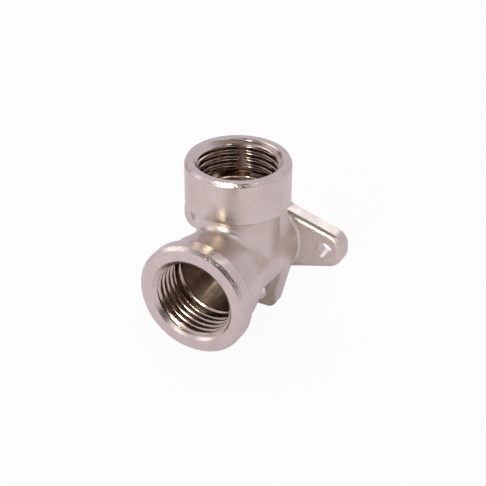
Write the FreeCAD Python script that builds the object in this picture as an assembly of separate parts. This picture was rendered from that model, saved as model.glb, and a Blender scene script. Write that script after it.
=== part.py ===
import FreeCAD, Part
import math
import os

# Wall plate elbow: one brass forging with two female sockets at a right angle and three fixing lugs.
# Frame: origin on the wall face, on the outlet axis. +Z runs up the pipe socket, -Y out of the outlet.
# Sizes are in millimetres and degrees.

# Main reaches
PIPE_AXIS_FROM_WALL = 16.3
PIPE_REACH = 27.0
OUTLET_REACH = 39.6

# Pipe thread, G 1/2: the bores are cut to the root of the thread
THREAD_ROOT_DIAMETER = 20.955
MOUTH_COUNTERSINK = 0.25

# Pipe socket
PIPE_COLLAR_DIAMETER = 25.7
PIPE_COLLAR_LENGTH = 11.1
PIPE_COLLAR_EDGE_BEVEL = 0.45
PIPE_COLLAR_UNDERSIDE_SLOPE = 15.0
PIPE_BEVEL_WIDTH = 0.5
PIPE_BEVEL_DEPTH = 0.9
PIPE_NECK_DIAMETER = 20.8
PIPE_NECK_DRAFT = 2.5
PIPE_THREAD_DEPTH = 10.0
PIPE_SEAT_DEPTH = 1.5
PIPE_PASSAGE_DIAMETER = 15.4

# Outlet socket
OUTLET_COLLAR_DIAMETER = 28.4
OUTLET_COLLAR_LENGTH = 4.6
OUTLET_COLLAR_EDGE_WIDTH = 0.3
OUTLET_COLLAR_EDGE_DEPTH = 0.7
OUTLET_COLLAR_BACK_SLOPE = 50.0
OUTLET_BEVEL_WIDTH = 0.25
OUTLET_BEVEL_DEPTH = 0.9
OUTLET_NECK_DIAMETER = 24.9
OUTLET_NECK_LENGTH = 4.75
OUTLET_TAPER = 13.5
OUTLET_THREAD_DEPTH = 11.5
OUTLET_SEAT_DEPTH = 0.6
OUTLET_PASSAGE_DIAMETER = 18.4
OUTLET_PASSAGE_OVERRUN = 0.5

# Barrel between the outlet's taper and the wall
BARREL_WALL_DIAMETER = 22.6
BARREL_DRAFT = 3.2
BARREL_BLEND_RADIUS = 16.0

# Wall plate: three lugs in one outline
PLATE_THICKNESS = 4.35
PLATE_FRONT_EDGE_RADIUS = 1.3
PLATE_INNER_CORNER_RADIUS = 2.0
PLATE_FILLET_RADIUS = 0.8
FIXING_HOLE_DIAMETER = 4.5
SIDE_LUG_REACH = 22.7
SIDE_LUG_END_WIDTH = 7.8
SIDE_LUG_RISE = 0.2
SIDE_LUG_ROOT_WIDTH = 20.8
SIDE_LUG_TIP_RADIUS = 4.3
SIDE_HOLE_FROM_TIP = 4.7
BOTTOM_LUG_REACH = 22.3
BOTTOM_LUG_END_WIDTH = 8.4
BOTTOM_LUG_ROOT_WIDTH = 19.3
BOTTOM_LUG_TIP_RADIUS = 2.2
BOTTOM_HOLE_FROM_TIP = 4.3

# Blend where the pipe neck meets the outlet's taper and the barrel
CROTCH_RADIUS = 2.1

# Two points or surfaces this close count as touching
TOUCH = 0.001

UP = FreeCAD.Vector(0, 0, 1)
SIDEWAYS = FreeCAD.Vector(1, 0, 0)
OUTWARD = FreeCAD.Vector(0, -1, 0)
CENTRE = FreeCAD.Vector(0, 0, 0)
PIPE_FOOT = OUTWARD * PIPE_AXIS_FROM_WALL


def slope(degrees):
    """Rise over run of an angle."""
    return math.tan(math.radians(degrees))


def rounded_edges(corners):
    """Edges along (u, v, radius) corners in the XZ plane, with a tangent arc at each rounded corner."""
    points = [FreeCAD.Vector(u, 0, v) for u, v, radius in corners]
    edges = []
    start = points[0]
    for before, here, after, corner in zip(points, points[1:], points[2:], corners[1:]):
        back = (before - here).normalize()
        ahead = (after - here).normalize()
        radius = corner[2]
        if radius == 0:
            edges.append(Part.LineSegment(start, here).toShape())
            start = here
            continue
        half_angle = back.getAngle(ahead) / 2
        run = radius / math.tan(half_angle)
        bisector = (back + ahead).normalize()
        crown = here + bisector * (radius / math.sin(half_angle) - radius)
        edges.append(Part.LineSegment(start, here + back * run).toShape())
        edges.append(Part.Arc(here + back * run, crown, here + ahead * run).toShape())
        start = here + ahead * run
    edges.append(Part.LineSegment(start, points[-1]).toShape())
    return edges


def turned(corners):
    """Solid of revolution about Z from a closed chain of corners that starts and ends on the axis."""
    return Part.Face(Part.Wire(rounded_edges(corners))).revolve(CENTRE, UP, 360)


def along_outlet(shape):
    """The shape with its Z axis laid along the outlet axis, away from the wall."""
    return shape.rotated(CENTRE, SIDEWAYS, 90)


def along_pipe(shape):
    """The shape with its Z axis moved to the pipe axis."""
    return shape.translated(PIPE_FOOT)


def pipe_neck_top():
    """Height of the corner between the pipe neck and the underside of its collar."""
    overhang = (PIPE_COLLAR_DIAMETER - PIPE_NECK_DIAMETER) / 2 - PIPE_COLLAR_EDGE_BEVEL
    return PIPE_REACH - PIPE_COLLAR_LENGTH - overhang * slope(PIPE_COLLAR_UNDERSIDE_SLOPE)


def pipe_neck_radius(height):
    """Radius of the drafted pipe neck at a height over the outlet axis."""
    return PIPE_NECK_DIAMETER / 2 - (pipe_neck_top() - height) * slope(PIPE_NECK_DRAFT)


def pipe_socket():
    """Upright collar on its drafted neck, solid down to the outlet axis."""
    collar_radius = PIPE_COLLAR_DIAMETER / 2
    collar_foot = PIPE_REACH - PIPE_COLLAR_LENGTH
    return along_pipe(turned([
        (0, 0, 0),
        (pipe_neck_radius(0), 0, 0),
        (PIPE_NECK_DIAMETER / 2, pipe_neck_top(), 0),
        (collar_radius - PIPE_COLLAR_EDGE_BEVEL, collar_foot, 0),
        (collar_radius, collar_foot + PIPE_COLLAR_EDGE_BEVEL, 0),
        (collar_radius, PIPE_REACH - PIPE_BEVEL_DEPTH, 0),
        (collar_radius - PIPE_BEVEL_WIDTH, PIPE_REACH, 0),
        (0, PIPE_REACH, 0),
        (0, 0, 0),
    ]))


def barrel_radius(from_wall):
    """Radius of the drafted barrel at a distance from the wall."""
    return BARREL_WALL_DIAMETER / 2 - from_wall * slope(BARREL_DRAFT)


def outlet_socket():
    """Collar, neck, taper and drafted barrel on the outlet axis, solid."""
    collar_radius = OUTLET_COLLAR_DIAMETER / 2
    neck_radius = OUTLET_NECK_DIAMETER / 2
    wall_radius = BARREL_WALL_DIAMETER / 2
    collar_back = OUTLET_REACH - OUTLET_COLLAR_LENGTH
    edge_radius = collar_radius - OUTLET_COLLAR_EDGE_WIDTH
    neck_front = collar_back - (edge_radius - neck_radius) / slope(OUTLET_COLLAR_BACK_SLOPE)
    neck_back = neck_front - OUTLET_NECK_LENGTH
    # The taper narrows towards the wall and the barrel towards the outlet: they meet at the waist.
    narrowing = slope(OUTLET_TAPER) + slope(BARREL_DRAFT)
    waist = (wall_radius - neck_radius + neck_back * slope(OUTLET_TAPER)) / narrowing
    return along_outlet(turned([
        (0, 0, 0),
        (wall_radius, 0, 0),
        (barrel_radius(waist), waist, BARREL_BLEND_RADIUS),
        (neck_radius, neck_back, 0),
        (neck_radius, neck_front, 0),
        (edge_radius, collar_back, 0),
        (collar_radius, collar_back + OUTLET_COLLAR_EDGE_DEPTH, 0),
        (collar_radius, OUTLET_REACH - OUTLET_BEVEL_DEPTH, 0),
        (collar_radius - OUTLET_BEVEL_WIDTH, OUTLET_REACH, 0),
        (0, OUTLET_REACH, 0),
        (0, 0, 0),
    ]))


def middle_of(edge):
    """Point halfway along an edge."""
    return edge.valueAt((edge.FirstParameter + edge.LastParameter) / 2)


def blended_sockets():
    """Both sockets in one solid, with a rounded crotch where the pipe neck stands on the outlet."""
    sockets = outlet_socket().fuse(pipe_socket())
    crotch = []
    for edge in sockets.Edges:
        middle = middle_of(edge)
        from_axis = math.hypot(middle.x, middle.y - PIPE_FOOT.y)
        on_neck = abs(from_axis - pipe_neck_radius(middle.z)) < TOUCH
        is_turned = edge.Curve.TypeId in ("Part::GeomLine", "Part::GeomCircle")
        if on_neck and not is_turned:
            crotch.append(edge)
    return sockets.makeFillet(CROTCH_RADIUS, crotch)


def plate():
    """Wall plate with three lugs in one outline and a rounded front edge."""
    side_half = SIDE_LUG_END_WIDTH / 2
    side_root = SIDE_LUG_ROOT_WIDTH / 2
    side_spread = (side_root - side_half) / SIDE_LUG_REACH
    top, foot = SIDE_LUG_RISE + side_half, SIDE_LUG_RISE - side_half
    top_root, foot_root = SIDE_LUG_RISE + side_root, SIDE_LUG_RISE - side_root
    bottom_half = BOTTOM_LUG_END_WIDTH / 2
    bottom_root = BOTTOM_LUG_ROOT_WIDTH / 2
    bottom_spread = (bottom_root - bottom_half) / BOTTOM_LUG_REACH
    # The lower side of a side lug meets the side of the bottom lug at the inner corner.
    inner_x = (bottom_root + bottom_spread * foot_root) / (1 - bottom_spread * side_spread)
    inner_z = side_spread * inner_x + foot_root
    outline = Part.Wire(rounded_edges([
        (0, top_root, 0),
        (SIDE_LUG_REACH, top, SIDE_LUG_TIP_RADIUS),
        (SIDE_LUG_REACH, foot, SIDE_LUG_TIP_RADIUS),
        (inner_x, inner_z, PLATE_INNER_CORNER_RADIUS),
        (bottom_half, -BOTTOM_LUG_REACH, BOTTOM_LUG_TIP_RADIUS),
        (-bottom_half, -BOTTOM_LUG_REACH, BOTTOM_LUG_TIP_RADIUS),
        (-inner_x, inner_z, PLATE_INNER_CORNER_RADIUS),
        (-SIDE_LUG_REACH, foot, SIDE_LUG_TIP_RADIUS),
        (-SIDE_LUG_REACH, top, SIDE_LUG_TIP_RADIUS),
        (0, top_root, 0),
    ]))
    blank = Part.Face(outline).extrude(OUTWARD * PLATE_THICKNESS)
    front_edges = []
    for edge in blank.Edges:
        if all(abs(vertex.Y + PLATE_THICKNESS) < TOUCH for vertex in edge.Vertexes):
            front_edges.append(edge)
    return blank.makeFillet(PLATE_FRONT_EDGE_RADIUS, front_edges)


def forging():
    """Sockets and wall plate in one solid, with a fillet where the front of the plate meets the barrel."""
    joined = blended_sockets().fuse(plate())
    seam = []
    for edge in joined.Edges:
        middle = middle_of(edge)
        on_barrel = abs(math.hypot(middle.x, middle.z) - barrel_radius(PLATE_THICKNESS)) < TOUCH
        on_front = abs(middle.y + PLATE_THICKNESS) < TOUCH
        if on_barrel and on_front:
            seam.append(edge)
    return joined.makeFillet(PLATE_FILLET_RADIUS, seam)


def fixing_drills():
    """Cutters for the fixing holes of the two side lugs and the bottom lug."""
    side = SIDE_LUG_REACH - SIDE_HOLE_FROM_TIP
    bottom = BOTTOM_LUG_REACH - BOTTOM_HOLE_FROM_TIP
    places = [SIDEWAYS * side, SIDEWAYS * -side, UP * -bottom]
    return [Part.makeCylinder(FIXING_HOLE_DIAMETER / 2, PLATE_THICKNESS, place, OUTWARD) for place in places]


def pipe_bore():
    """Cutter for the tapped bore of the pipe socket, its seat and the passage down to the outlet axis."""
    passage_radius = PIPE_PASSAGE_DIAMETER / 2
    root_radius = THREAD_ROOT_DIAMETER / 2
    seat_top = PIPE_REACH - PIPE_THREAD_DEPTH
    return along_pipe(turned([
        (0, 0, 0),
        (passage_radius, 0, 0),
        (passage_radius, seat_top - PIPE_SEAT_DEPTH, 0),
        (root_radius, seat_top, 0),
        (root_radius, PIPE_REACH - MOUTH_COUNTERSINK, 0),
        (root_radius + MOUTH_COUNTERSINK, PIPE_REACH, 0),
        (0, PIPE_REACH, 0),
        (0, 0, 0),
    ]))


def outlet_bore():
    """Cutter for the tapped bore of the outlet, its seat and the blind passage past the pipe axis."""
    passage_radius = OUTLET_PASSAGE_DIAMETER / 2
    root_radius = THREAD_ROOT_DIAMETER / 2
    passage_end = PIPE_AXIS_FROM_WALL - PIPE_PASSAGE_DIAMETER / 2 - OUTLET_PASSAGE_OVERRUN
    seat_front = OUTLET_REACH - OUTLET_THREAD_DEPTH
    return along_outlet(turned([
        (0, passage_end, 0),
        (passage_radius, passage_end, 0),
        (passage_radius, seat_front - OUTLET_SEAT_DEPTH, 0),
        (root_radius, seat_front, 0),
        (root_radius, OUTLET_REACH - MOUTH_COUNTERSINK, 0),
        (root_radius + MOUTH_COUNTERSINK, OUTLET_REACH, 0),
        (0, OUTLET_REACH, 0),
        (0, passage_end, 0),
    ]))


def elbow_body():
    """The whole forging, bored and drilled."""
    return forging().cut([pipe_bore(), outlet_bore()] + fixing_drills()).removeSplitter()


os.makedirs("parts", exist_ok=True)
elbow_body().exportStep("parts/elbow_body.step")
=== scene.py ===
"""Dressed model of a nickel-plated wall plate elbow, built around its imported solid."""

import logging
import math
from dataclasses import dataclass
from enum import Enum

import bmesh
import bpy
from mathutils import Matrix, Vector


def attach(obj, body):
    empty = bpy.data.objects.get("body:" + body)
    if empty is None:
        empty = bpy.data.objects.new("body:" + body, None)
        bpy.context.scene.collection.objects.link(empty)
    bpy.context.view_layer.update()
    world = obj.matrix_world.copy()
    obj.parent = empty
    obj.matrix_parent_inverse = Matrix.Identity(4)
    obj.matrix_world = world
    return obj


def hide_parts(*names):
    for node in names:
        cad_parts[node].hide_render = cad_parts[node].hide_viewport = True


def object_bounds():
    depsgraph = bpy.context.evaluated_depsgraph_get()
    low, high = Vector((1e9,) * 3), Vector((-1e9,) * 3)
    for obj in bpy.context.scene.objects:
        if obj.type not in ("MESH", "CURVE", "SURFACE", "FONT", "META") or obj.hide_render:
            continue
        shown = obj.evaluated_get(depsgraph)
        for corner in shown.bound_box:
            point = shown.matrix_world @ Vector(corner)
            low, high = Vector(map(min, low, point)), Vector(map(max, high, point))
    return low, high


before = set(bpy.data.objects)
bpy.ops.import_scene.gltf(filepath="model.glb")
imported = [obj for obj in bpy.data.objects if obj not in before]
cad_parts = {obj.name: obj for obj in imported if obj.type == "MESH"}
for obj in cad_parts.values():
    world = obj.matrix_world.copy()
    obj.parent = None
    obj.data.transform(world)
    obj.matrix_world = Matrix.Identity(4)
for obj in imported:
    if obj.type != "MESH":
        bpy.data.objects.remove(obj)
CAD_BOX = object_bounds()

LOG = logging.getLogger("wall_plate_elbow")
MM = 0.001
PER_MM = 1000.0
SHADING_WEIGHT = 50
WATTS_PER_LEVEL = 4.0
UNIT_HALF = 0.5
Colour = tuple[float, float, float, float]
Span = tuple[float, float]
WHITE: Colour = (1.0, 1.0, 1.0, 1.0)
UNIT_SPAN: Span = (0.0, 1.0)
SINE_SPAN: Span = (-1.0, 1.0)


class Port(Enum):
    """The two threaded mouths, each with its centre in millimetres and its outward axis."""

    PIPE = ((0.0, -16.3, 27.0), (0.0, 0.0, 1.0))
    OUTLET = ((0.0, -39.6, 0.0), (0.0, -1.0, 0.0))

    @property
    def centre(self) -> Vector:
        """Middle of the mouth, in metres."""
        return Vector(self.value[0]) * MM

    @property
    def axis(self) -> Vector:
        """Direction in which the mouth opens."""
        return Vector(self.value[1])

    @property
    def place(self) -> Matrix:
        """Matrix that sets a shape made about +Z, mouth at the origin, into this port."""
        turn = Vector((0.0, 0.0, 1.0)).rotation_difference(self.axis).to_matrix().to_4x4()
        return Matrix.Translation(self.centre) @ turn

    def depth_and_radius(self, point: Vector) -> tuple[float, float]:
        """Where a point lies in this port.

        Args:
            point: A point in the part's frame, in metres.

        Returns:
            Its depth behind the mouth and its distance from the axis, in millimetres.
        """
        offset = point - self.centre
        along = offset.dot(self.axis)
        return -along * PER_MM, (offset - along * self.axis).length * PER_MM

    def facing(self, point: Vector, normal: Vector) -> tuple[float, float]:
        """How a face is turned in this port.

        Args:
            point: The middle of the face, in metres.
            normal: Its outward direction.

        Returns:
            The normal's share along the port's axis and its share away from that axis.
        """
        offset = point - self.centre
        across = offset - offset.dot(self.axis) * self.axis
        away = normal.dot(across.normalized()) if across.length > 0.0 else 0.0
        return normal.dot(self.axis), away


class Zone(Enum):
    """Places of the body that have a finish of their own, by material index."""

    FORGED = 0
    PIPE_FACE = 1
    OUTLET_FACE = 2
    BEVEL = 3
    BORE = 4
    COLLAR = 5
    PIPE_THREAD = 6
    OUTLET_THREAD = 7
    OUTLET_PASSAGE = 8
    PLATE = 9


def link(name: str, data: bpy.types.ID) -> bpy.types.Object:
    """Puts an object in the scene, at the origin.

    Args:
        name: Name of the object.
        data: Its mesh, lamp or camera.

    Returns:
        The object.
    """
    made = bpy.data.objects.new(name, data)
    bpy.context.scene.collection.objects.link(made)
    return made


def settle(shape: bmesh.types.BMesh, name: str) -> bpy.types.Object:
    """Turns a finished shape into an object at the origin.

    Args:
        shape: The shape in the part's frame, which is freed.
        name: Name of the object and its mesh.

    Returns:
        The object.
    """
    mesh = bpy.data.meshes.new(name)
    shape.to_mesh(mesh)
    shape.free()
    return link(name, mesh)


def join(tree: bpy.types.NodeTree, value: object, socket: bpy.types.NodeSocket) -> None:
    """Links an input, or sets its constant.

    Args:
        tree: The tree that holds the input.
        value: An output socket or a plain value.
        socket: The input that takes it.
    """
    if isinstance(value, bpy.types.NodeSocket):
        tree.links.new(value, socket)
    else:
        socket.default_value = value


def arithmetic(
    tree: bpy.types.NodeTree, operation: str, first: object, second: object
) -> bpy.types.NodeSocket:
    """Adds one arithmetic step on two values.

    Args:
        tree: The tree that gets the node.
        operation: What the step does.
        first: A socket or a number.
        second: A socket or a number.

    Returns:
        The result.
    """
    made = tree.nodes.new("ShaderNodeMath")
    made.operation = operation
    for value, socket in zip((first, second), made.inputs):
        join(tree, value, socket)
    return made.outputs[0]


def mix_colours(
    tree: bpy.types.NodeTree, share: object, first: object, second: object
) -> bpy.types.NodeSocket:
    """Adds a colour between two.

    Args:
        tree: The tree that gets the node.
        share: Share of the second colour, from 0 to 1.
        first: Colour at 0.
        second: Colour at 1.

    Returns:
        The mixed colour.
    """
    made = tree.nodes.new("ShaderNodeMix")
    made.data_type = "RGBA"
    for value, index in ((share, 0), (first, 6), (second, 7)):
        join(tree, value, made.inputs[index])
    return made.outputs[2]


def mix_shaders(
    tree: bpy.types.NodeTree,
    share: bpy.types.NodeSocket,
    first: bpy.types.NodeSocket,
    second: bpy.types.NodeSocket,
    target: str,
) -> None:
    """Sends a shader between two to the tree's output.

    Args:
        tree: The tree that gets the node.
        share: Share of the second shader, from 0 to 1.
        first: Shader at 0.
        second: Shader at 1.
        target: Name of the output node.
    """
    made = tree.nodes.new("ShaderNodeMixShader")
    for value, socket in zip((share, first, second), made.inputs):
        tree.links.new(value, socket)
    tree.links.new(made.outputs[0], tree.nodes[target].inputs["Surface"])


class FinishGraph:
    """Node graph of one metal finish."""

    def __init__(self, name: str, base: Colour) -> None:
        """Starts a metallic material.

        Args:
            name: Name of the material.
            base: Colour shown where nothing drives the base colour.
        """
        self.material = bpy.data.materials.new(name)
        self.material.use_nodes = True
        self.material.diffuse_color = base
        self.tree = self.material.node_tree
        self.shader = self.tree.nodes["Principled BSDF"]
        self.drive("Base Color", base)
        self.drive("Metallic", 1.0)

    def drive(self, name: str, value: object) -> None:
        """Links an input of the shader by its name, or sets its constant."""
        join(self.tree, value, self.shader.inputs[name])

    def node(self, kind: str, inputs: dict[object, object], **settings: object) -> bpy.types.Node:
        """Adds a node.

        Args:
            kind: Blender's type name of the node.
            inputs: Values or output sockets by the input's name or index.
            settings: Properties of the node.

        Returns:
            The new node.
        """
        made = self.tree.nodes.new(kind)
        for key, value in settings.items():
            setattr(made, key, value)
        for key, value in inputs.items():
            join(self.tree, value, made.inputs[key])
        return made

    def vector(self, operation: str, *values: object, output: str = "Vector") -> bpy.types.NodeSocket:
        """One step of vector arithmetic, on one or two vectors."""
        made = self.node("ShaderNodeVectorMath", dict(enumerate(values)), operation=operation)
        return made.outputs[output]

    def millimetres(self) -> bpy.types.NodeSocket:
        """Object coordinates in millimetres.

        Returns:
            The coordinates.
        """
        place = self.node("ShaderNodeTexCoord", {}).outputs["Object"]
        scaled = self.node("ShaderNodeMapping", {"Vector": place, "Scale": (PER_MM,) * 3})
        return scaled.outputs["Vector"]

    def noise(self, place: bpy.types.NodeSocket, size: float, detail: float) -> bpy.types.NodeSocket:
        """Cloudy noise from 0 to 1.

        Args:
            place: Coordinates in millimetres.
            size: Size of a cloud in millimetres.
            detail: Octaves of finer noise.

        Returns:
            The noise's value.
        """
        made = self.node("ShaderNodeTexNoise", {"Vector": place, "Scale": 1.0 / size, "Detail": detail})
        return made.outputs["Fac"]

    def remap(self, value: bpy.types.NodeSocket, span: Span, target: Span) -> bpy.types.NodeSocket:
        """A value stretched from one range onto another and clamped.

        Args:
            value: The value to stretch.
            span: Lower and upper end of its range.
            target: What the two ends become.

        Returns:
            The stretched value.
        """
        limits = {"From Min": span[0], "From Max": span[1], "To Min": target[0], "To Max": target[1]}
        return self.node("ShaderNodeMapRange", {"Value": value, **limits}).outputs["Result"]

    def rings(self, distance: bpy.types.NodeSocket, pitch: float) -> bpy.types.NodeSocket:
        """Even ripples from 0 to 1 along a distance, both in millimetres."""
        turns = arithmetic(self.tree, "MULTIPLY", distance, 2.0 * math.pi / pitch)
        return self.remap(arithmetic(self.tree, "SINE", turns, 0.0), SINE_SPAN, UNIT_SPAN)

    def mottle(self, cloud: bpy.types.NodeSocket, span: Span, low: Colour, high: Colour) -> None:
        """Drives the base colour from one tone to another by a noise.

        Args:
            cloud: The noise.
            span: Values of the noise that show the two tones.
            low: Tone at the lower value.
            high: Tone at the upper value.
        """
        share = self.remap(cloud, span, UNIT_SPAN)
        self.drive("Base Color", mix_colours(self.tree, share, low, high))

    def roughen(self, cloud: bpy.types.NodeSocket, span: Span, roughness: Span) -> None:
        """Drives the roughness by a noise, over a range of that noise."""
        self.drive("Roughness", self.remap(cloud, span, roughness))

    def bump(
        self, height: bpy.types.NodeSocket, distance: float, under: object = None
    ) -> bpy.types.NodeSocket:
        """A normal raised by a height.

        Args:
            height: Height from 0 to 1.
            distance: Height of the relief in millimetres.
            under: Normal of the relief below, if any.

        Returns:
            The new normal.
        """
        inputs = {"Height": height, "Distance": distance * MM, "Strength": 1.0}
        if under is not None:
            inputs["Normal"] = under
        return self.node("ShaderNodeBump", inputs).outputs["Normal"]


@dataclass(frozen=True)
class SatinNickel:
    """Satin nickel plate on a shot-blasted forging or on a smoothed collar."""

    name: str
    grain_height: float
    roughness: Span
    light_tone: Colour = (0.73, 0.665, 0.60, 1.0)
    dark_tone: Colour = (0.67, 0.60, 0.53, 1.0)
    tone_span: Span = (0.35, 0.65)
    roughness_span: Span = (0.3, 0.7)
    cloud_size: float = 5.0
    cloud_detail: float = 3.0
    grain_size: float = 0.30
    grain_detail: float = 2.0
    wave_size: float = 3.2
    wave_height: float = 0.030
    wave_detail: float = 1.0
    dulling_detail: float = 4.0

    def material(self) -> bpy.types.Material:
        """Makes the finish.

        Returns:
            The material.
        """
        graph = FinishGraph(self.name, self.light_tone)
        place = graph.millimetres()
        cloud = graph.noise(place, self.cloud_size, self.cloud_detail)
        graph.mottle(cloud, self.tone_span, self.dark_tone, self.light_tone)
        dulling = graph.noise(place, self.wave_size, self.dulling_detail)
        graph.roughen(dulling, self.roughness_span, self.roughness)
        wave = graph.bump(graph.noise(place, self.wave_size, self.wave_detail), self.wave_height)
        grain = graph.noise(place, self.grain_size, self.grain_detail)
        graph.drive("Normal", graph.bump(grain, self.grain_height, wave))
        return graph.material


@dataclass(frozen=True)
class TurnedNickel:
    """Nickel plate on a turned face, with fine rings about a port's axis."""

    name: str
    port: Port
    tone: Colour = (0.72, 0.65, 0.60, 1.0)
    worn_tone: Colour = (0.67, 0.60, 0.54, 1.0)
    tone_span: Span = (0.35, 0.65)
    roughness: Span = (0.22, 0.32)
    roughness_span: Span = (0.3, 0.7)
    wear_size: float = 3.0
    wear_detail: float = 3.0
    ring_pitch: float = 0.22
    ring_height: float = 0.0025

    def material(self) -> bpy.types.Material:
        """Makes the finish.

        Returns:
            The material.
        """
        graph = FinishGraph(self.name, self.tone)
        place = graph.millimetres()
        wear = graph.noise(place, self.wear_size, self.wear_detail)
        graph.mottle(wear, self.tone_span, self.worn_tone, self.tone)
        graph.roughen(wear, self.roughness_span, self.roughness)
        centre, axis = self.port.value
        flat = tuple(1.0 - abs(part) for part in axis)
        across = graph.vector("MULTIPLY", graph.vector("SUBTRACT", place, centre), flat)
        radius = graph.vector("LENGTH", across, output="Value")
        graph.drive("Normal", graph.bump(graph.rings(radius, self.ring_pitch), self.ring_height))
        return graph.material


@dataclass(frozen=True)
class CutMetal:
    """Bright metal of a cut thread, bevel or bore."""

    name: str
    tone: Colour
    stain: Colour
    roughness: Span
    chatter_height: float
    chatter_size: float = 0.6
    chatter_detail: float = 2.0
    stain_size: float = 2.5
    stain_detail: float = 4.0
    stain_span: Span = (0.35, 0.7)
    roughness_span: Span = (0.3, 0.7)

    def material(self) -> bpy.types.Material:
        """Makes the finish.

        Returns:
            The material.
        """
        graph = FinishGraph(self.name, self.tone)
        place = graph.millimetres()
        cloud = graph.noise(place, self.stain_size, self.stain_detail)
        graph.mottle(cloud, self.stain_span, self.tone, self.stain)
        chatter = graph.noise(place, self.chatter_size, self.chatter_detail)
        graph.roughen(chatter, self.roughness_span, self.roughness)
        graph.drive("Normal", graph.bump(chatter, self.chatter_height))
        return graph.material


@dataclass(frozen=True)
class DrilledMetal:
    """Metal of a drilled passage, whose fine tool rings draw every highlight out along the port's axis."""

    name: str
    port: Port
    tone: Colour = (0.62, 0.51, 0.41, 1.0)
    stain: Colour = (0.24, 0.18, 0.14, 1.0)
    roughness: Span = (0.27, 0.33)
    cloud_span: Span = (0.2, 0.8)
    stain_size: float = 2.5
    stain_detail: float = 4.0
    ring_pitch: float = 0.55
    ring_height: float = 0.075
    anisotropy: float = 1.0
    quarter_turn: float = 0.25

    def material(self) -> bpy.types.Material:
        """Makes the finish.

        Returns:
            The material.
        """
        graph = FinishGraph(self.name, self.tone)
        place = graph.millimetres()
        cloud = graph.noise(place, self.stain_size, self.stain_detail)
        graph.mottle(cloud, self.cloud_span, self.tone, self.stain)
        graph.roughen(cloud, self.cloud_span, self.roughness)
        centre, axis = self.port.value
        offset = graph.vector("SUBTRACT", place, centre)
        graph.drive("Tangent", graph.vector("CROSS_PRODUCT", axis, offset))
        along = graph.vector("DOT_PRODUCT", axis, offset, output="Value")
        graph.drive("Normal", graph.bump(graph.rings(along, self.ring_pitch), self.ring_height))
        graph.drive("Anisotropic", self.anisotropy)
        graph.drive("Anisotropic Rotation", self.quarter_turn)
        return graph.material


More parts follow.
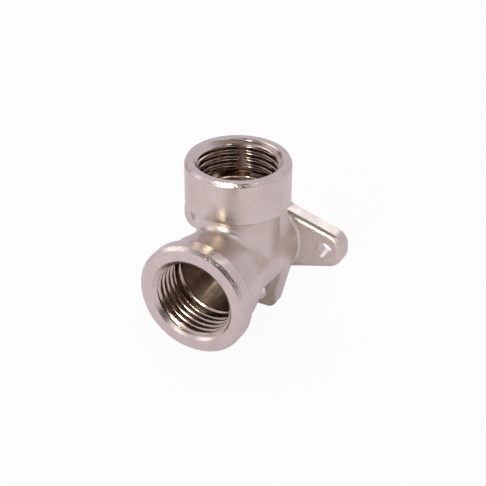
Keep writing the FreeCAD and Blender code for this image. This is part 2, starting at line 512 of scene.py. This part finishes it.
@dataclass
class ForgedElbow:
    """The forged body with its plate, sockets and bores, dressed zone by zone.

    Lengths are in millimetres and angles in degrees. The fields that start with facing are shares of a
    face's normal along the direction that they name.
    """

    node: str = "elbow_body"
    name: str = "forged_elbow"
    weld_distance: float = 0.0005
    crease_angle: float = 26.0
    flat_angle: float = 0.5
    bore_radius: float = 10.9
    seat_depth: float = 1.0
    mouth_depth: float = 0.02
    edge_slack: float = 0.05
    countersink_depth: float = 0.3
    bevel_depth: float = 1.0
    bevel_radius: float = 11.9
    pipe_collar: float = 11.1
    outlet_collar: float = 4.6
    plate_depth: float = 6.0
    passage_radius: float = 9.2
    passage_slack: float = 0.1
    outlet_edge: float = 13.95
    outlet_edge_bevelled: float = 13.45
    facing_square: float = 0.99
    facing_nearly: float = 0.9
    facing_plate: float = 0.95
    facing_slightly: float = 0.2

    def widen_bevel(self, shape: bmesh.types.BMesh) -> None:
        """Draws the outer edge of the outlet's flat mouth in, which widens the bevel behind it.

        Args:
            shape: The welded body.
        """
        port = Port.OUTLET
        for vert in shape.verts:
            depth, radius = port.depth_and_radius(vert.co)
            if abs(depth) < self.mouth_depth and abs(radius - self.outlet_edge) < self.edge_slack:
                along = port.centre + (vert.co - port.centre).project(port.axis)
                vert.co = along + (vert.co - along) * (self.outlet_edge_bevelled / radius)

    def zone_in_port(self, port: Port, point: Vector, normal: Vector) -> Zone | None:
        """Finish that one port gives a face.

        Args:
            port: The port that is asked.
            point: Middle of the face.
            normal: Direction of the face.

        Returns:
            The zone, or None where the face isn't one of the port's.
        """
        depth, radius = port.depth_and_radius(point)
        along, away = port.facing(point, normal)
        face = Zone.PIPE_FACE if port is Port.PIPE else Zone.OUTLET_FACE
        if abs(depth) < self.mouth_depth and along > self.facing_square:
            return face
        if depth < self.countersink_depth and radius < self.bore_radius:
            return face
        tilted = self.facing_slightly < along < self.facing_square
        if tilted and depth < self.bevel_depth and radius > self.bevel_radius:
            return Zone.BEVEL
        seated = along > self.facing_nearly and depth > self.seat_depth
        inward = seated or away < -self.facing_slightly
        if inward and radius < self.bore_radius and depth > 0.0:
            return Zone.BORE
        length = self.pipe_collar if port is Port.PIPE else self.outlet_collar
        if 0.0 < depth < length and away > self.facing_nearly and radius > self.bevel_radius:
            return Zone.COLLAR
        return None

    def zone_of(self, point: Vector, normal: Vector) -> Zone:
        """Finish of a face by its place and direction.

        Args:
            point: Middle of the face.
            normal: Direction of the face.

        Returns:
            The zone.
        """
        radius = Port.OUTLET.depth_and_radius(point)[1]
        away = Port.OUTLET.facing(point, normal)[1]
        if away < -self.facing_square and abs(radius - self.passage_radius) < self.passage_slack:
            return Zone.OUTLET_PASSAGE
        near_wall = radius > self.bore_radius and point.y > -self.plate_depth * MM
        if near_wall and normal.y < -self.facing_plate:
            return Zone.PLATE
        found = (self.zone_in_port(port, point, normal) for port in Port)
        return next((zone for zone in found if zone is not None), Zone.FORGED)

    def build(self) -> bpy.types.Object:
        """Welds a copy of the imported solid, marks its creases and sorts its faces by finish.

        Returns:
            The body, at the origin.
        """
        shape = bmesh.new()
        shape.from_mesh(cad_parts[self.node].data)
        bmesh.ops.remove_doubles(shape, verts=shape.verts, dist=self.weld_distance * MM)
        self.widen_bevel(shape)
        bmesh.ops.join_triangles(
            shape,
            faces=shape.faces,
            angle_face_threshold=math.radians(self.flat_angle),
            angle_shape_threshold=math.pi,
        )
        shape.normal_update()
        for face in shape.faces:
            face.smooth = True
            face.material_index = self.zone_of(face.calc_center_median(), face.normal).value
        piece = settle(shape, self.name)
        piece.data.set_sharp_from_angle(angle=math.radians(self.crease_angle))
        return piece

    def dress(self, piece: bpy.types.Object, finishes: dict[Zone, bpy.types.Material]) -> None:
        """Gives each zone its finish and evens the shading of the large faces.

        Args:
            piece: The body that build() made.
            finishes: The finish of each zone.
        """
        for zone in Zone:
            piece.data.materials.append(finishes[zone])
        even_shading(piece)
        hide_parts(self.node)


@dataclass
class ThreadTurns:
    """Helical ridges of an internal pipe thread, set in a port's bore, in millimetres and degrees."""

    port: Port
    name: str
    run: float
    start_angle: float
    pitch: float = 1.814
    crest_radius: float = 9.4914
    crest_width: float = 0.485
    crest_round: float = 0.13
    flank_angle: float = 27.5
    root_radius: float = 10.455
    base_radius: float = 10.56
    mouth_radius: float = 10.7075
    seam: float = 0.002
    first_turn: float = -0.7
    run_out: float = 2.2
    least_depth: float = 0.02
    weld_distance: float = 0.0005
    crease_angle: float = 32.0
    chamfer_slack: float = 0.002
    round_parts: int = 3
    flank_parts: int = 5
    root_parts: int = 4
    steps_per_turn: int = 96

    def profile(self) -> list[Vector]:
        """Closed outline of one turn in the XZ plane: a ridge with half a rounded root on each side.

        Returns:
            Corners as (radius, 0, height) in millimetres, the crest towards the axis.
        """
        tilt = math.radians(90.0 - self.flank_angle)
        setback = self.crest_round * math.tan(tilt / 2.0)
        centre = Vector((self.crest_radius + self.crest_round, self.crest_width / 2.0 - setback))
        crest = []
        for part in range(self.round_parts + 1):
            turn = tilt * part / self.round_parts
            crest.append(centre + self.crest_round * Vector((-math.cos(turn), math.sin(turn))))
        side = self.pitch / 2.0 - self.seam
        foot = self.crest_width / 2.0
        foot += (self.root_radius - self.crest_radius) * math.tan(math.radians(self.flank_angle))
        root_round = (side - foot) / math.tan(tilt / 2.0)
        hollow = Vector((self.root_radius - root_round, side))
        root = []
        for part in range(self.root_parts + 1):
            turn = tilt * (1.0 - part / self.root_parts)
            root.append(hollow + root_round * Vector((math.cos(turn), -math.sin(turn))))
        slope = root[0] - crest[-1]
        flank = [crest[-1] + slope * (part / self.flank_parts) for part in range(1, self.flank_parts)]
        upper = [*crest, *flank, *root, Vector((self.base_radius, side))]
        lower = [Vector((corner.x, -corner.y)) for corner in reversed(upper)]
        return [Vector((corner.x, 0.0, corner.y)) for corner in lower + upper]

    def least_radius(self, depth: float) -> float:
        """Radius that the mouth's chamfer and the tap's lead leave.

        Args:
            depth: Depth behind the mouth.

        Returns:
            The least radius at that depth.
        """
        chamfer = self.mouth_radius - depth
        lead = self.base_radius - (self.run - depth) * (self.base_radius - self.crest_radius) / self.run_out
        return max(chamfer, lead)

    def on_chamfer(self, face: bmesh.types.BMFace) -> bool:
        """Whether a face lies on the cone that the mouth's chamfer cuts."""
        misses = (vert.co.xy.length - self.mouth_radius - vert.co.z for vert in face.verts)
        return all(abs(miss) < self.chamfer_slack for miss in misses)

    def spin_ridge(self) -> bmesh.types.BMesh:
        """Spins the outline along its helix, up to the mouth.

        Returns:
            The open ridge about +Z, with the mouth at the origin.
        """
        rise = self.run - self.first_turn
        turns = rise / self.pitch
        steps = round(turns * self.steps_per_turn)
        bottom = Vector((0.0, 0.0, self.run))
        shape = bmesh.new()
        ring = [shape.verts.new(corner - bottom) for corner in self.profile()]
        edges = [shape.edges.new(pair) for pair in zip(ring, ring[1:] + ring[:1])]
        bmesh.ops.spin(
            shape,
            geom=[*ring, *edges],
            cent=(0.0, 0.0, 0.0),
            axis=(0.0, 0.0, 1.0),
            dvec=(0.0, 0.0, rise / steps),
            angle=2.0 * math.pi * turns,
            steps=steps,
            use_merge=False,
            use_duplicate=False,
        )
        return shape

    def trim(self, shape: bmesh.types.BMesh) -> None:
        """Cuts the ridge back at both ends and closes it.

        Args:
            shape: The ridge that spin_ridge() made.
        """
        for vert in shape.verts:
            depth = max(-vert.co.z, self.least_depth)
            radius = vert.co.xy.length
            reach = min(max(radius, self.least_radius(depth)), self.mouth_radius)
            vert.co = Vector((vert.co.x * reach / radius, vert.co.y * reach / radius, -depth))
        bmesh.ops.remove_doubles(shape, verts=shape.verts, dist=self.weld_distance)
        bmesh.ops.holes_fill(shape, edges=[edge for edge in shape.edges if edge.is_boundary])
        bmesh.ops.recalc_face_normals(shape, faces=shape.faces)

    def build(self) -> bpy.types.Object:
        """Makes the trimmed ridge and sets it into its port.

        Returns:
            The ridge, at the origin.
        """
        shape = self.spin_ridge()
        self.trim(shape)
        for face in shape.faces:
            face.smooth = True
            face.material_index = int(self.on_chamfer(face))
        turn = Matrix.Rotation(math.radians(self.start_angle), 4, "Z")
        place = self.port.place @ turn @ Matrix.Scale(MM, 4)
        bmesh.ops.transform(shape, matrix=place, verts=shape.verts)
        piece = settle(shape, self.name)
        piece.data.set_sharp_from_angle(angle=math.radians(self.crease_angle))
        return piece

    def dress(self, piece: bpy.types.Object, cut: bpy.types.Material, face: bpy.types.Material) -> None:
        """Gives the ridge its cut finish, and the chamfered part the finish of the mouth.

        Args:
            piece: The ridge that build() made.
            cut: Finish of the thread.
            face: Finish of the port's mouth.
        """
        piece.data.materials.append(cut)
        piece.data.materials.append(face)
        even_shading(piece)


@dataclass(frozen=True)
class Panel:
    """A flat card or lamp that looks at the part from one side, in metres and degrees."""

    name: str
    azimuth: float
    elevation: float
    distance: float
    width: float
    height: float
    tone: Colour
    level: float
    target: tuple[float, float, float] = (0.0, -0.0163, 0.0)

    @property
    def towards(self) -> Vector:
        """Direction from the part to the panel."""
        turn = math.radians(self.azimuth)
        lift = math.radians(self.elevation)
        flat = math.cos(lift)
        return Vector((math.sin(turn) * flat, -math.cos(turn) * flat, math.sin(lift)))

    @property
    def pose(self) -> Matrix:
        """Place of the panel, its back along local +Z and its height along local Y."""
        turn = self.towards.to_track_quat("Z", "Y").to_matrix().to_4x4()
        return Matrix.Translation(Vector(self.target) + self.towards * self.distance) @ turn

    def lamp(self) -> None:
        """Sets the panel up as a lamp whose surface has the panel's level."""
        data = bpy.data.lights.new(self.name, "AREA")
        data.shape = "RECTANGLE"
        data.size = self.width
        data.size_y = self.height
        data.energy = WATTS_PER_LEVEL * self.width * self.height * self.level
        data.color = self.tone[:3]
        link(self.name, data).matrix_world = self.pose

    def card(self) -> None:
        """Sets the panel up as a card that only shows in polished metal."""
        shape = bmesh.new()
        bmesh.ops.create_grid(shape, x_segments=1, y_segments=1, size=UNIT_HALF)
        bmesh.ops.scale(shape, vec=(self.width, self.height, 1.0), verts=shape.verts)
        bmesh.ops.transform(shape, matrix=self.pose, verts=shape.verts)
        made = settle(shape, self.name)
        material = bpy.data.materials.new(self.name)
        material.use_nodes = True
        tree = material.node_tree
        glow = tree.nodes.new("ShaderNodeEmission")
        glow.inputs["Color"].default_value = self.tone
        glow.inputs["Strength"].default_value = self.level
        tree.links.new(glow.outputs[0], tree.nodes["Material Output"].inputs["Surface"])
        made.data.materials.append(material)
        made.visible_camera = False
        made.visible_diffuse = False
        made.visible_shadow = False


@dataclass
class Studio:
    """Pale floor, white surround, lamps, cards and the camera, in metres and degrees."""

    floor_half: float = 3.0
    floor_gap: float = 0.0003
    floor_tone: Colour = (0.625, 0.568, 0.645, 1.0)
    floor_roughness: float = 0.9
    floor_glow_seen: float = 0.93
    floor_glow_mirrored: float = 0.10
    mirrored_tone: Colour = (0.70, 0.637, 0.72, 1.0)
    surround: float = 0.95
    strip_tone: Colour = (1.0, 0.93, 0.82, 1.0)
    softbox_tone: Colour = (1.0, 0.985, 0.95, 1.0)
    back_tone: Colour = (0.90, 0.97, 1.0, 1.0)
    card_tone: Colour = (1.0, 0.88, 0.78, 1.0)
    eye: tuple[float, float, float] = (0.119760, -0.243444, 0.163100)
    azimuth: float = 27.476
    elevation: float = 31.885
    roll: float = 0.669
    lens: float = 90.744
    sensor: float = 36.0
    shift: tuple[float, float] = (-0.00103, 0.00103)
    nearest: float = 0.01

    @staticmethod
    def rays(tree: bpy.types.NodeTree) -> tuple[bpy.types.NodeSocket, bpy.types.NodeSocket]:
        """Adds masks for what the camera sees straight and for what metal and glass show.

        Args:
            tree: The tree that gets the nodes.

        Returns:
            The mask of straight rays and the mask of mirrored ones.
        """
        path = tree.nodes.new("ShaderNodeLightPath").outputs
        mirrored = arithmetic(tree, "MAXIMUM", path["Is Glossy Ray"], path["Is Transmission Ray"])
        return path["Is Camera Ray"], mirrored

    def shown_tone(self, tree: bpy.types.NodeTree, straight: bpy.types.NodeSocket) -> bpy.types.NodeSocket:
        """Adds a tone that is white to the camera and a pale violet grey in reflections."""
        return mix_colours(tree, straight, self.mirrored_tone, WHITE)

    def floor(self) -> None:
        """Makes the floor under the lowest point of the part."""
        shape = bmesh.new()
        bmesh.ops.create_grid(shape, x_segments=1, y_segments=1, size=self.floor_half)
        height = CAD_BOX[0].z - self.floor_gap
        bmesh.ops.translate(shape, vec=(0.0, 0.0, height), verts=shape.verts)
        made = settle(shape, "studio_floor")
        material = bpy.data.materials.new("pale_floor")
        material.use_nodes = True
        tree = material.node_tree
        matt = tree.nodes["Principled BSDF"]
        matt.inputs["Base Color"].default_value = self.floor_tone
        matt.inputs["Roughness"].default_value = self.floor_roughness
        straight, mirrored = self.rays(tree)
        glow = tree.nodes.new("ShaderNodeEmission")
        tree.links.new(self.shown_tone(tree, straight), glow.inputs["Color"])
        seen = arithmetic(tree, "MULTIPLY", straight, self.floor_glow_seen)
        reflected = arithmetic(tree, "MULTIPLY", mirrored, self.floor_glow_mirrored)
        share = arithmetic(tree, "MAXIMUM", seen, reflected)
        mix_shaders(tree, share, matt.outputs[0], glow.outputs[0], "Material Output")
        made.data.materials.append(material)

    def world(self) -> None:
        """Makes the white surround."""
        world = bpy.data.worlds.new("white_surround")
        bpy.context.scene.world = world
        world.use_nodes = True
        tree = world.node_tree
        dim = tree.nodes["Background"]
        dim.inputs["Color"].default_value = WHITE
        dim.inputs["Strength"].default_value = self.surround
        straight, mirrored = self.rays(tree)
        shown = tree.nodes.new("ShaderNodeBackground")
        shown.inputs["Strength"].default_value = 1.0
        tree.links.new(self.shown_tone(tree, straight), shown.inputs["Color"])
        share = arithmetic(tree, "MAXIMUM", straight, mirrored)
        mix_shaders(tree, share, dim.outputs[0], shown.outputs[0], "World Output")

    def lamps(self) -> None:
        """Sets the lamps."""
        Panel(
            "front_strip", azimuth=1.0, elevation=20.0, distance=0.6,
            width=0.08, height=0.33, tone=self.strip_tone, level=17.0,
        ).lamp()
        Panel(
            "left_softbox", azimuth=-70.0, elevation=32.0, distance=0.8,
            width=0.50, height=0.45, tone=self.softbox_tone, level=0.8,
        ).lamp()
        Panel(
            "right_softbox", azimuth=52.0, elevation=41.0, distance=0.8,
            width=0.42, height=0.26, tone=self.softbox_tone, level=1.4,
        ).lamp()
        Panel(
            "back_softbox", azimuth=172.0, elevation=42.0, distance=0.8,
            width=0.30, height=0.30, tone=self.back_tone, level=1.3,
        ).lamp()

    def cards(self) -> None:
        """Sets the cards that darken parts of the reflections."""
        outlet = tuple(Port.OUTLET.centre)
        Panel(
            "camera_side_card", azimuth=20.0, elevation=-4.0, distance=0.085,
            width=0.045, height=0.045, tone=self.card_tone, level=0.03, target=outlet,
        ).card()
        Panel(
            "lens_card", azimuth=47.0, elevation=29.0, distance=0.085,
            width=0.05, height=0.08, tone=self.card_tone, level=0.03, target=outlet,
        ).card()
        Panel(
            "ceiling_card", azimuth=0.0, elevation=90.0, distance=0.22,
            width=0.26, height=0.26, tone=self.card_tone, level=0.22, target=(0.035, -0.046, 0.0),
        ).card()
        Panel(
            "left_card", azimuth=-102.0, elevation=16.0, distance=0.25,
            width=0.10, height=0.10, tone=self.card_tone, level=0.05,
        ).card()
        # Painted shadow: a dark card on the floor under the bottom lug, seen only in the metal, stands in
        # for the floor's contact shadow there.
        Panel(
            "shade_card", azimuth=0.0, elevation=-90.0, distance=0.0058,
            width=0.020, height=0.020, tone=self.card_tone, level=0.30, target=(-0.003, -0.012, -0.0166),
        ).card()

    def camera(self) -> None:
        """Sets the camera at the photograph's viewing angle."""
        turn, lift, roll = (math.radians(angle) for angle in (self.azimuth, self.elevation, self.roll))
        back = Vector((math.sin(turn) * math.cos(lift), -math.cos(turn) * math.cos(lift), math.sin(lift)))
        level = Vector((math.cos(turn), math.sin(turn), 0.0))
        right = level * math.cos(roll) + back.cross(level) * math.sin(roll)
        data = bpy.data.cameras.new("view_camera")
        data.lens = self.lens
        data.sensor_width = self.sensor
        data.shift_x, data.shift_y = self.shift
        data.clip_start = self.nearest
        camera = link("view_camera", data)
        pose = Matrix((right, back.cross(right), back)).transposed().to_4x4()
        camera.matrix_world = Matrix.Translation(self.eye) @ pose
        bpy.context.scene.camera = camera

    def build(self) -> None:
        """Sets up everything round the part."""
        bpy.context.scene.view_settings.view_transform = "Standard"
        self.floor()
        self.world()
        self.lamps()
        self.cards()
        self.camera()


def even_shading(piece: bpy.types.Object) -> None:
    """Lets the large faces of a piece lead its shading, up to its sharp edges.

    Args:
        piece: The piece that gets the modifier.
    """
    even = piece.modifiers.new("even_shading", "WEIGHTED_NORMAL")
    even.keep_sharp = True
    even.weight = SHADING_WEIGHT


def hand_over(piece: bpy.types.Object) -> None:
    """Sets a finished piece on the part's body and reports it.

    Args:
        piece: The finished piece.
    """
    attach(piece, "root")
    LOG.info("%s: %d faces", piece.name, len(piece.data.polygons))


def make_finishes() -> dict[Zone, bpy.types.Material]:
    """Makes the finish of each zone.

    Returns:
        The materials by zone.
    """
    finishes = {
        Zone.FORGED: SatinNickel("blasted_nickel", grain_height=0.034, roughness=(0.31, 0.41)),
        Zone.PLATE: SatinNickel(
            "blasted_plate",
            grain_height=0.13,
            roughness=(0.31, 0.41),
            grain_size=0.55,
        ),
        Zone.COLLAR: SatinNickel("smoothed_nickel", grain_height=0.003, roughness=(0.23, 0.30)),
        Zone.PIPE_FACE: TurnedNickel("turned_pipe_face", Port.PIPE),
        Zone.OUTLET_FACE: TurnedNickel("turned_outlet_face", Port.OUTLET),
        Zone.BEVEL: CutMetal(
            "bright_bevel",
            tone=(0.74, 0.67, 0.62, 1.0),
            stain=(0.62, 0.54, 0.48, 1.0),
            roughness=(0.12, 0.24),
            chatter_height=0.08,
            chatter_size=0.30,
        ),
        Zone.BORE: CutMetal(
            "bored_brass",
            tone=(0.70, 0.60, 0.49, 1.0),
            stain=(0.46, 0.37, 0.30, 1.0),
            roughness=(0.08, 0.14),
            chatter_height=0.002,
        ),
        Zone.OUTLET_PASSAGE: DrilledMetal("drilled_brass", Port.OUTLET),
        # Painted shade: the pipe's thread gets a darker tone and stain than the outlet's thread, to dim the
        # pipe's bore.
        Zone.PIPE_THREAD: CutMetal(
            "pipe_thread_painted_shade",
            tone=(0.60, 0.52, 0.45, 1.0),
            stain=(0.46, 0.37, 0.31, 1.0),
            roughness=(0.12, 0.18),
            chatter_height=0.003,
        ),
        Zone.OUTLET_THREAD: CutMetal(
            "outlet_cut_thread",
            tone=(0.66, 0.57, 0.50, 1.0),
            stain=(0.52, 0.41, 0.33, 1.0),
            roughness=(0.12, 0.18),
            chatter_height=0.003,
        ),
    }
    return {zone: finish.material() for zone, finish in finishes.items()}


def main() -> None:
    """Builds the elbow, its threads and the studio, in that order."""
    logging.basicConfig(level=logging.INFO, format="%(message)s")
    finishes = make_finishes()
    elbow = ForgedElbow()
    body = elbow.build()
    elbow.dress(body, finishes)
    hand_over(body)
    pipe = ThreadTurns(Port.PIPE, "pipe_thread_turns", run=9.3, start_angle=-70.5)
    outlet = ThreadTurns(Port.OUTLET, "outlet_thread_turns", run=10.9, start_angle=-64.0)
    for turns, cut, face in (
        (pipe, Zone.PIPE_THREAD, Zone.PIPE_FACE),
        (outlet, Zone.OUTLET_THREAD, Zone.OUTLET_FACE),
    ):
        ridge = turns.build()
        turns.dress(ridge, finishes[cut], finishes[face])
        hand_over(ridge)
    Studio().build()


if __name__ == "__main__":
    main()
